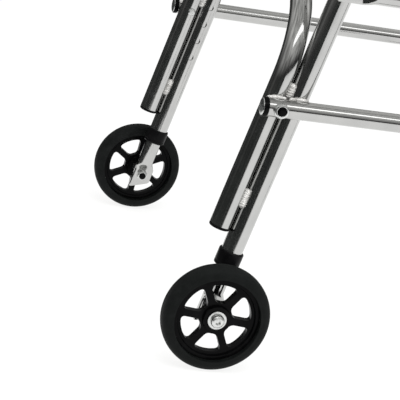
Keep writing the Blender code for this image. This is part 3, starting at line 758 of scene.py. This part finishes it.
def rail_rivet(label, side, where):
    place = outboard_matrix(where, side)
    outer = RAIL_R + GAP + 0.0045
    tail = -RAIL_R - 2 * TUBE_R - 2 * GAP
    cup = [(0.0, outer - 0.0022), (0.0053, outer - 0.0022), (0.0055, outer - 0.0002),
           (0.0061, outer), (0.0075, outer - 0.0004), (0.0085, outer - 0.0016)]
    head = lathe_mesh(label + "_head", fillet_profile(
        cup + [(0.0085, RAIL_R - 0.0034), (0.0030, RAIL_R - 0.0034), (0.0030, tail),
               (0.0055, tail), (0.0050, tail - 0.0014), (0.0038, tail - 0.0026),
               (0.0, tail - 0.0026)], 0.0006), place)
    bm = bmesh.new()
    bmesh.ops.create_cone(
        bm, cap_ends=True, segments=64, radius1=RAIL_R + GAP, radius2=RAIL_R + GAP, depth=0.05,
        matrix=Matrix.Translation(where) @ Matrix.Rotation(pi / 2, 4, "X"))
    head = subtract(head, mesh_of(bm, "rail_shape"))
    finish_piece(label + "_rivet_head", head, ZINC, "frame", [label + "_rail_rivet"])
    profile = [(0.0, outer + 0.0004)]
    profile += [(0.0050 * sin(pi / 2 * k / 6), outer - 0.0008 + 0.0012 * cos(pi / 2 * k / 6))
                for k in range(1, 7)]
    profile += [(0.0050, outer - 0.0019), (0.0, outer - 0.0019)]
    insert = lathe_mesh(label + "_insert", profile, place)
    finish_piece(label + "_rivet_insert", insert, GLOSSY_PLASTIC, "frame",
                 [label + "_rail_rivet_insert"])


def rail_welds(label, side, x, z):
    """Beads where the rail crosses the leg tubes, above and below."""
    front, rear = FRONT[label], REAR[label]
    crossing = front.at_height(z).y
    spread = PAIR_PITCH / front.up.z
    rows = [("hoop", crossing - spread), ("front", crossing), ("rear", rear.at_height(z).y)]
    for number, (name, y) in enumerate(rows):
        for level, sign in (("top", 1), ("base", -1)):
            path = []
            for k in range(13):
                f = k / 6 - 1
                inset = x - side * (0.0092 + 0.0010 * f * f)
                path.append(Vector((inset, y + 0.0115 * f, z + sign * (0.0092 - 0.0012 * f * f))))
            bead = bead_mesh("bead", path, (0.0024, 0.0032, Vector((-side, 0.0, sign))),
                             seed=number * 3 + sign)
            finish_piece(f"{label}_{name}_rail_weld_{level}", bead, WELD, "frame")


def pair_welds(label, side):
    """Short stitch welds in the valley between the two tubes of each front pair."""
    leg = FRONT[label]
    for number, (low, high) in enumerate(((0.1240, 0.1475), (0.2600, 0.2780))):
        for face, sign in (("outer", 1), ("inner", -1)):
            path = [leg.at(low + (high - low) * k / 8, -PAIR_PITCH / 2, sign * 0.0062)
                    for k in range(9)]
            bead = bead_mesh("bead", path, (0.0040, 0.0044, Vector((sign * side, 0.0, 0.0))),
                             ripple=0.0026, sides=20, seed=number + 2 * sign)
            finish_piece(f"{label}_pair_weld_{number + 1}_{face}", bead, WELD, "frame")


def upper_rail(label, side):
    low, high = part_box(label + "_upper_rail")
    y0, y1 = (middle(f"{label}_upper_rail_bolt_{end}").y for end in ("front", "rear"))
    bolt_z = middle(label + "_upper_rail_bolt_front").z
    centre_x = side * (LEG_X + TUBE_R + GAP + FLAT_HALF_T)
    flat = (0.0115, FLAT_HALF_T, 6.0)
    full = (UPPER_RAIL_R, UPPER_RAIL_R, 2.0)
    sections = [
        (low.y, 0.0088, 0.0013, 6.0), (low.y + 0.0022, *flat), (y0 + 0.0165, *flat),
        (y0 + 0.0340, *full), (y1 - 0.0340, *full), (y1 - 0.0165, *flat),
        (high.y - 0.0022, *flat), (high.y, 0.0088, 0.0013, 6.0),
    ]
    place = Matrix.Translation((centre_x, 0.0, bolt_z)) @ Matrix.Rotation(-pi / 2, 4, "X")
    rows = smooth_steps(sections, 8)
    mesh = ring_mesh(label + "_upper_rail", loft_rings(rows, place, 40),
                     [row[0] for row in rows], capped=True)
    mesh = outward(mesh)
    mesh = drill(mesh, [cross_hole(centre_x, y, bolt_z) for y in (y0, y1)])
    finish_piece(label + "_upper_rail_tube", mesh, ALUMINIUM, "frame", [label + "_upper_rail"])
    for end, y in (("front", y0), ("rear", y1)):
        fastener(label, end, side, Vector((centre_x, y, bolt_z)))


def fastener(label, end, side, where):
    face = FLAT_HALF_T + GAP
    nut_top = -(FLAT_HALF_T + 2 * GAP + 2 * TUBE_R)
    place = outboard_matrix(where, side)
    dome = [(0.0, face + 0.0022), (0.0016, face + 0.0022), (0.0019, face + 0.0036)]
    dome += [(0.0066 * sin(a), face + 0.0012 + 0.0026 * cos(a))
             for a in (0.45, 0.7, 0.95, 1.2, 1.45)]
    profile = dome + [(0.0066, face), (0.0030, face), (0.0030, nut_top - 0.0064),
                      (0.0026, nut_top - 0.0068), (0.0, nut_top - 0.0068)]
    bolt = lathe_mesh("bolt", fillet_profile(profile, 0.0002), place, 48)
    finish_piece(f"{label}_rail_screw_{end}", bolt, ZINC, "frame",
                 [f"{label}_upper_rail_bolt_{end}"])
    nut = hex_nut("nut", place, 0.0058, 0.0032, nut_top - 0.0052, nut_top)
    finish_piece(f"{label}_rail_nut_{end}", nut, ZINC, "frame",
                 [f"{label}_upper_rail_nut_{end}"], 30)


def hex_nut(name, place, corner_r, bore_r, low, high, steps=48):
    """Six-sided nut with turned chamfers on its corners and a round bore."""
    flat_r = corner_r * cos(pi / 6)

    def ring(radius, height, hexagonal):
        points = []
        for k in range(steps):
            a = 2 * pi * k / steps
            size = radius
            if hexagonal:
                from_flat = (a % (pi / 3)) - pi / 6
                size = min(radius, flat_r / cos(from_flat))
            points.append(place @ Vector((size * cos(a), size * sin(a), height)))
        return points

    edge = 0.12 * (high - low)
    rows = [(bore_r + 0.0004, high, False), (flat_r - 0.0001, high, False),
            (corner_r, high - edge, True), (corner_r, low + edge, True),
            (flat_r - 0.0001, low, False), (bore_r + 0.0004, low, False),
            (bore_r, low + 0.0004, False), (bore_r, high - 0.0004, False)]
    rings = [ring(*row) for row in rows]
    return outward(ring_mesh(name, rings, [row[1] for row in rows], loop=True))


def hand_grip(label):
    low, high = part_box(label + "_hand_grip")
    half = (high.y - low.y) / 2
    bore, outer, waist = TUBE_R + GAP, (high.z - low.z) / 2, (high.z - low.z) / 2 - 0.0015
    profile = [(bore, half), (outer - 0.0015, half), (outer, half - 0.0015),
               (outer, half - 0.0050), (waist, half - 0.0070)]
    ribs = 34
    pitch = (2 * half - 0.0150) / ribs
    for n in range(ribs):
        z = half - 0.0075 - pitch * (n + 0.5)
        for f, depth in ((0.45, 0.0009), (0.25, 0.0001), (-0.25, 0.0001), (-0.45, 0.0009)):
            profile.append((waist - depth, z + f * pitch))
    profile += [(waist, -half + 0.0070), (outer, -half + 0.0050), (outer, -half + 0.0015),
                (outer - 0.0015, -half), (bore, -half)]
    place = Matrix.Translation(middle(label + "_hand_grip")) @ Matrix.Rotation(pi / 2, 4, "X")
    mesh = lathe_mesh("grip", fillet_profile(profile, 0.0006, True), place, closed=True)
    finish_piece(label + "_ribbed_grip", mesh, VINYL, "frame", [label + "_hand_grip"])


# ---------------------------------------------------------------- legs
def front_stem(label):
    leg = FRONT[label]
    top = FRONT_BUTTON_S + STEM_ABOVE_BUTTON
    low, flat_top, slant, proud = -0.0165, 0.0080, 0.50, 0.0024
    flat = (0.0135, STEM_FLAT_HALF_T, 5.0)
    sections = [
        (low, 0.0120, 0.0047, 5.0), (low + 0.0006, 0.0129, 0.0050, 5.0), (low + 0.0015, *flat),
        (flat_top, *flat), (0.0185, STEM_R, STEM_R, 2.0), (top, STEM_R, STEM_R, 2.0),
    ]
    rows = smooth_steps(sections, 10)

    def rings(inset):
        skins = loft_rings([(h, y - inset, x - inset, p) for h, y, x, p in rows], Matrix(), 48)
        for skin, row in zip(skins, rows):
            oblique = slant * min(max((flat_top - row[0]) / (flat_top - low - 0.0015), 0.0), 1.0)
            shift = proud * min(max((0.0185 - row[0]) / 0.0105, 0.0), 1.0)
            for k, point in enumerate(skin):
                lift = oblique * point.y
                skin[k] = leg.matrix() @ Vector((point.x, point.y + shift, point.z + lift))
        return skins

    lengths = [row[0] for row in rows]
    mesh = ring_mesh("stem", rings(0.0) + rings(STEM_WALL)[::-1], lengths + lengths[::-1],
                     loop=True)
    mesh = outward(mesh)
    spans = [(leg.at(0.0, 0.0, -0.02), leg.at(0.0, 0.0, 0.02), AXLE_HOLE_R),
             (leg.at(FRONT_BUTTON_S), leg.at(FRONT_BUTTON_S, 0.0, -0.02), HOLE_R)]
    mesh = drill(mesh, spans)
    body = label + "_front_leg"
    finish_piece(label + "_wheel_stem", mesh, ALUMINIUM, body, [label + "_front_stem"], 32)


def rear_stem(label):
    leg = REAR[label]
    base, top = 0.0103, REAR_BUTTON_U + STEM_ABOVE_BUTTON
    path = [leg.at(base + (top - base) * k / 8) for k in range(9)]
    mesh = tube_mesh("stem", path, STEM_R, STEM_WALL, (0.0, 1.0, 0.0))
    mesh = drill(mesh, [(leg.at(REAR_BUTTON_U), leg.at(REAR_BUTTON_U, 0.0, -0.02), HOLE_R)])
    finish_piece(label + "_tip_stem", tube_normals(mesh, path), ALUMINIUM, label + "_rear_leg",
                 [label + "_rear_stem"], 0)
    rubber_tip(label, leg)


def rubber_tip(label, leg):
    tall = 0.0420
    bore = STEM_R + GAP
    profile = [(0.0, 0.0100), (bore, 0.0100), (bore, tall), (0.0150, tall),
               (0.0160, tall - 0.0020), (0.0161, tall - 0.0060), (0.0154, tall - 0.0066),
               (0.0155, tall - 0.0084), (0.0163, tall - 0.0090), (0.0172, 0.0180),
               (0.0180, 0.0140), (0.0205, 0.0110), (0.0207, 0.0090), (0.0201, 0.0082),
               (0.0201, 0.0068), (0.0208, 0.0060), (0.0210, -0.0040), (0.0, -0.0040)]
    mesh = lathe_mesh("tip", fillet_profile(profile, 0.0007), leg.matrix(), 72)
    floor = bmesh.new()
    bmesh.ops.create_cone(floor, cap_ends=True, segments=8, radius1=0.06, radius2=0.06,
                          depth=0.04, matrix=Matrix.Translation((leg.origin.x, leg.origin.y, -0.02)))
    tip = subtract(mesh, mesh_of(floor, "floor_cut"))
    finish_piece(label + "_rubber_tip", tip, RUBBER, label + "_rear_leg",
                 [label + "_rear_tip"], 32)


def snap_button(label, end, leg, side, s):
    back, tip, radius, flange = 0.0060, 0.0152, 0.0037, 0.0050
    profile = [(radius * sin(a), tip - 0.0015 + 0.0015 * cos(a))
               for a in [pi / 2 * k / 8 for k in range(9)]]
    profile += [(radius, back + 0.0014), (flange, back + 0.0014), (flange, back), (0.0, back)]
    place = Matrix.Translation(leg.at(s)) @ Matrix.Rotation(-side * pi / 2, 4, "Y")
    mesh = lathe_mesh("button", fillet_profile(profile, 0.0003), place, 40)
    finish_piece(f"{label}_{end}_snap_button", mesh, ZINC, f"{label}_{end}_button_body",
                 [f"{label}_{end}_button"])


# ---------------------------------------------------------------- wheels
def tyre(label, place):
    crown, half, power = WHEEL_R - TYRE_BORE_R, 0.0145, 2.6
    points = []
    count = 56
    for k in range(count + 1):
        a = pi / 2 - pi * k / count
        c, s = max(cos(a), 0.0), sin(a)
        size = (c ** power + abs(s) ** power) ** (-1.0 / power)
        r, z = TYRE_BORE_R + crown * c * size, half * s * size
        groove = 0.00022 if abs(r - 0.0535) < 0.00045 or abs(z) < 0.0002 else 0.0
        if abs(z) > 0.01:
            z -= groove if z > 0 else -groove
        else:
            r -= groove
        points.append((r, z))
    mesh = lathe_mesh("tyre", points, place, 128, closed=True)
    finish_piece(label + "_solid_tyre", mesh, RUBBER, label + "_wheel", [label + "_tyre"])


def window_cutter(place, phase):
    """Six rounded openings between the spokes."""
    inner, outer, spoke, corner = 0.0190, 0.0410, 0.0086, 0.0055
    bm = bmesh.new()
    for n in range(SPOKES):
        centre = phase + 2 * pi * (n + 0.5) / SPOKES
        outline = []
        for radius, order in ((outer, 1), (inner, -1)):
            spread = pi / SPOKES - (spoke / 2) / radius
            steps = 14 if order > 0 else 6
            for k in range(steps + 1):
                a = centre + order * spread * (2 * k / steps - 1)
                outline.append(Vector((radius * cos(a), radius * sin(a))))
        outline = rounded_outline(outline, corner)
        base = [bm.verts.new(place @ Vector((p.x, p.y, -0.02))) for p in outline]
        top = [bm.verts.new(place @ Vector((p.x, p.y, 0.02))) for p in outline]
        bm.faces.new(list(reversed(base)))
        bm.faces.new(top)
        for k in range(len(outline)):
            m = (k + 1) % len(outline)
            bm.faces.new((base[k], base[m], top[m], top[k]))
    bmesh.ops.recalc_face_normals(bm, faces=bm.faces)
    return mesh_of(bm, "windows")


def rounded_outline(outline, corner, steps=7):
    """Round only the sharp corners of a closed outline."""
    count = len(outline)
    sharp = []
    for k in range(count):
        a, b = outline[k - 1] - outline[k], outline[(k + 1) % count] - outline[k]
        sharp.append(pi - a.angle(b) > radians(40))
    result = []
    for k in range(count):
        if not sharp[k]:
            near = min((outline[k] - outline[j]).length for j in range(count) if sharp[j])
            if near > corner * 1.02:
                result.append(outline[k])
            continue
        start = walk_back(outline, k, -1, corner)
        end = walk_back(outline, k, 1, corner)
        for i in range(steps + 1):
            result.append(corner_curve(start, outline[k], end, i / steps))
    return result


def walk_back(outline, k, step, distance):
    """Point at a distance along the outline from corner k."""
    count = len(outline)
    here = outline[k]
    while True:
        ahead = outline[(k + step) % count]
        gap = (ahead - here).length
        if gap >= distance:
            return here + (ahead - here) * (distance / gap)
        distance -= gap
        here, k = ahead, k + step


def wheel_rim(label, place, phase):
    rim_r, inner_r, front, back, web = 0.0500, 0.0446, 0.0078, 0.0060, 0.0045
    hub_r, hub_bore = 0.0165, 0.0080
    profile = [
        (rim_r, front), (rim_r, -back), (inner_r + 0.0010, -back), (inner_r, -web),
        (hub_r, -web), (hub_r - 0.0010, -HUB_HALF_W), (hub_bore, -HUB_HALF_W), (hub_bore, HUB_HALF_W),
        (hub_r - 0.0010, HUB_HALF_W), (hub_r, web), (inner_r, web), (inner_r + 0.0010, front),
    ]
    mesh = lathe_mesh("rim", profile, place, 120, closed=True)
    mesh = subtract(mesh, window_cutter(place, phase))
    obj = finish_piece(label + "_spoked_rim", mesh, GLOSSY_PLASTIC, label + "_wheel",
                       [label + "_wheel_rim"], 30)
    edge = obj.modifiers.new("moulded_edges", "BEVEL")
    edge.width = 0.0008
    edge.segments = 3
    edge.limit_method = "ANGLE"
    edge.angle_limit = radians(35)
    edge.harden_normals = True


def axle_hardware(label, side, leg):
    wheel_x = abs(JOINTS[label + "_wheel_spin"]["pos_m"][0]) - LEG_X
    place = outboard_matrix(leg.origin, side)
    body = label + "_front_leg"
    washer_low = wheel_x + HUB_HALF_W + GAP
    head_low = washer_low + 0.0015 + GAP
    nut_high = -STEM_FLAT_HALF_T - GAP
    nut_low = nut_high - 0.0095
    washer = [(0.0110, washer_low + 0.0015), (0.0110, washer_low), (AXLE_HOLE_R, washer_low),
              (AXLE_HOLE_R, washer_low + 0.0015)]
    mesh = lathe_mesh("washer", fillet_profile(washer, 0.0005, True), place, closed=True)
    finish_piece(label + "_hub_washer", mesh, ZINC, body, [label + "_axle_washer"])
    top = head_low + 0.0055
    bolt = [(0.0, top - 0.0030), (0.0024, top - 0.0030), (0.0026, top - 0.0004),
            (0.0034, top), (0.0054, top - 0.0003), (0.0071, top - 0.0014),
            (0.0079, top - 0.0030), (0.0080, head_low), (0.0040, head_low),
            (0.0040, nut_low + 0.0010), (0.0, nut_low + 0.0010)]
    mesh = lathe_mesh("bolt", fillet_profile(bolt, 0.0003), place)
    finish_piece(label + "_axle", mesh, ZINC, body, [label + "_axle_bolt"])
    nut = hex_nut("nut", place, 0.0075, AXLE_HOLE_R, nut_low + 0.0026, nut_high)
    finish_piece(label + "_lock_nut", nut, ZINC, body, [label + "_axle_nut"], 30)
    crown = [(0.0048, nut_low + 0.0029), (0.0064, nut_low + 0.0029), (0.0064, nut_low + 0.0012),
             (0.0054, nut_low), (0.0048, nut_low)]
    mesh = lathe_mesh("crown", fillet_profile(crown, 0.0009, True), place, closed=True)
    finish_piece(label + "_nut_crown", mesh, ZINC, body)
    insert = [(0.0, nut_low + 0.0012), (0.0045, nut_low + 0.0012), (0.0045, nut_low - 0.0002),
              (0.0034, nut_low - 0.0012), (0.0, nut_low - 0.0014)]
    mesh = lathe_mesh("insert", fillet_profile(insert, 0.0005), place)
    finish_piece(label + "_nut_insert", mesh, GLOSSY_PLASTIC, body)


def wheel(label, side):
    spin = JOINTS[label + "_wheel_spin"]["pos_m"]
    place = outboard_matrix(spin, side)
    tyre(label, place)
    wheel_rim(label, place, pi / 2 + side * SPOKE_TURN[side])
    axle_hardware(label, side, FRONT[label])


# ---------------------------------------------------------------- all pieces
for LABEL, SIDE in SIDES:
    side_frame(LABEL, SIDE)
    lower_rail(LABEL, SIDE)
    upper_rail(LABEL, SIDE)
    pair_welds(LABEL, SIDE)
    hoop_plug(LABEL)
    hand_grip(LABEL)
    collar(LABEL + "_front", FRONT[LABEL], COLLAR_S, LABEL + "_front_collar")
    collar(LABEL + "_rear", REAR[LABEL], COLLAR_U, LABEL + "_rear_collar")
    front_stem(LABEL)
    rear_stem(LABEL)
    snap_button(LABEL, "front", FRONT[LABEL], SIDE, FRONT_BUTTON_S)
    snap_button(LABEL, "rear", REAR[LABEL], SIDE, REAR_BUTTON_U)
    wheel(LABEL, SIDE)
    for node, material in (("_front_spring", SPRING), ("_rear_spring", SPRING),
                           ("_wheel_bush", NYLON), ("_axle_spacer", ZINC)):
        kept = frame["nodes"][LABEL + node]
        kept.data.materials.clear()
        kept.data.materials.append(material)
front_hoop()
cross_tube()


# ---------------------------------------------------------------- floor, light and camera
def soft_floor():
    """Pale glowing floor; reflections see it only where a low studio sweep would lie."""
    bm = bmesh.new()
    bmesh.ops.create_circle(bm, cap_ends=True, segments=96, radius=7.0)
    mesh = mesh_of(bm, "studio_floor")
    material, tree, shader = new_material("pale_floor")
    shader.inputs["Base Color"].default_value = (0.16, 0.16, 0.159, 1.0)
    shader.inputs["Roughness"].default_value = 0.9
    shader.inputs["Specular IOR Level"].default_value = 0.0
    shader.inputs["Emission Color"].default_value = (1.0, 1.0, 0.995, 1.0)
    shader.inputs["Emission Strength"].default_value = 0.86
    coordinates = add_node(tree, "ShaderNodeTexCoord")
    split = add_node(tree, "ShaderNodeSeparateXYZ")
    length = add_node(tree, "ShaderNodeVectorMath", operation="LENGTH")
    wire(tree, coordinates.outputs["Object"], length.inputs[0])
    wire(tree, coordinates.outputs["Object"], split.inputs["Vector"])
    near = remap(tree, length.outputs["Value"], 1.0, 0.0, 0.72, 0.80)
    behind = remap(tree, split.outputs["Y"], 0.0, 1.0, -0.20, -0.10)
    path = add_node(tree, "ShaderNodeLightPath")
    direct = combine(tree, "SUBTRACT", 1.0, path.outputs["Is Glossy Ray"])
    shown = combine(tree, "MAXIMUM", combine(tree, "MAXIMUM", near, behind), direct)
    edge = remap(tree, length.outputs["Value"], 1.0, 0.0, 6.0, 6.95)
    wire(tree, combine(tree, "MULTIPLY", shown, edge), shader.inputs["Alpha"])
    mesh.materials.append(material)
    floor = bpy.data.objects.new("studio_floor", mesh)
    floor.location = (0.0, 0.0, -0.0005)
    bpy.context.scene.collection.objects.link(floor)


def area_light(name, location, target, size, power, glossy):
    data = bpy.data.lights.new(name, "AREA")
    data.shape = "RECTANGLE"
    data.size, data.size_y = size
    data.energy = power
    light = bpy.data.objects.new(name, data)
    light.location = location
    aim = Vector(target) - Vector(location)
    light.rotation_euler = aim.to_track_quat("-Z", "Y").to_euler()
    light.visible_glossy = glossy
    bpy.context.scene.collection.objects.link(light)


def studio_world():
    """White to the eye; to reflections a grey ceiling over a dark room."""
    world = bpy.data.worlds.new("studio")
    bpy.context.scene.world = world
    world.use_nodes = True
    tree = world.node_tree
    tree.nodes.clear()
    output = add_node(tree, "ShaderNodeOutputWorld")
    path = add_node(tree, "ShaderNodeLightPath")
    white = add_node(tree, "ShaderNodeBackground", Color=(1.0, 1.0, 1.0, 1.0), Strength=1.0)
    room = add_node(tree, "ShaderNodeBackground", Strength=1.0)
    soft = add_node(tree, "ShaderNodeBackground", Color=(1.0, 1.0, 1.0, 1.0), Strength=0.75)
    coordinates = add_node(tree, "ShaderNodeTexCoord")
    split = add_node(tree, "ShaderNodeSeparateXYZ")
    wire(tree, coordinates.outputs["Generated"], split.inputs["Vector"])
    ramp = add_node(tree, "ShaderNodeValToRGB")
    stops = ramp.color_ramp
    stops.elements[0].position = 0.5
    stops.elements[0].color = (0.028, 0.030, 0.029, 1.0)
    stops.elements[1].position = 1.0
    stops.elements[1].color = (0.46, 0.46, 0.45, 1.0)
    for position, value in ((0.53, 0.036), (0.57, 0.11), (0.66, 0.34), (0.78, 0.55)):
        stop = stops.elements.new(position)
        stop.color = (value, value, value * 0.98, 1.0)
    height = remap(tree, split.outputs["Z"], 0.0, 1.0, -1.0, 1.0)
    wire(tree, height, ramp.inputs["Fac"])
    wire(tree, ramp.outputs["Color"], room.inputs["Color"])
    clutter = noise(tree, coordinates.outputs["Generated"], 4.0, 1.0, 0.5)
    wire(tree, remap(tree, clutter, 0.55, 1.60, 0.34, 0.66), room.inputs["Strength"])
    mirror = add_node(tree, "ShaderNodeMixShader")
    wire(tree, path.outputs["Is Glossy Ray"], mirror.inputs["Fac"])
    wire(tree, soft.outputs[0], mirror.inputs[1])
    wire(tree, room.outputs[0], mirror.inputs[2])
    seen = add_node(tree, "ShaderNodeMixShader")
    wire(tree, path.outputs["Is Camera Ray"], seen.inputs["Fac"])
    wire(tree, mirror.outputs[0], seen.inputs[1])
    wire(tree, white.outputs[0], seen.inputs[2])
    wire(tree, seen.outputs[0], output.inputs["Surface"])


def photo_camera():
    azimuth, elevation, roll = radians(75.08), radians(17.26), radians(10.84)
    back = Vector((sin(azimuth) * cos(elevation), -cos(azimuth) * cos(elevation),
                   sin(elevation)))
    level = Vector((cos(azimuth), sin(azimuth), 0.0))
    upright = back.cross(level)
    right = level * cos(roll) + upright * sin(roll)
    up = upright * cos(roll) - level * sin(roll)
    data = bpy.data.cameras.new("photo_camera")
    data.sensor_width = 36.0
    data.lens = 133.79
    data.clip_start = 0.05
    camera = bpy.data.objects.new("photo_camera", data)
    turn = Matrix((right, up, back)).transposed().to_4x4()
    camera.matrix_world = Matrix.Translation((1.795, -0.6618, 0.6877)) @ turn
    bpy.context.scene.collection.objects.link(camera)
    bpy.context.scene.camera = camera


soft_floor()
studio_world()
area_light("key", (0.8, -0.2, 2.2), (0.0, 0.1, 0.2), (1.6, 1.6), 38.0, False)
area_light("fill", (1.6, 1.4, 0.9), (0.0, 0.0, 0.3), (1.2, 1.2), 9.0, False)
area_light("softbox", (1.8, 0.6, 2.4), (0.1, -0.1, 0.35), (4.2, 0.60), 15.0, True)
photo_camera()
bpy.context.scene.view_settings.view_transform = "Standard"
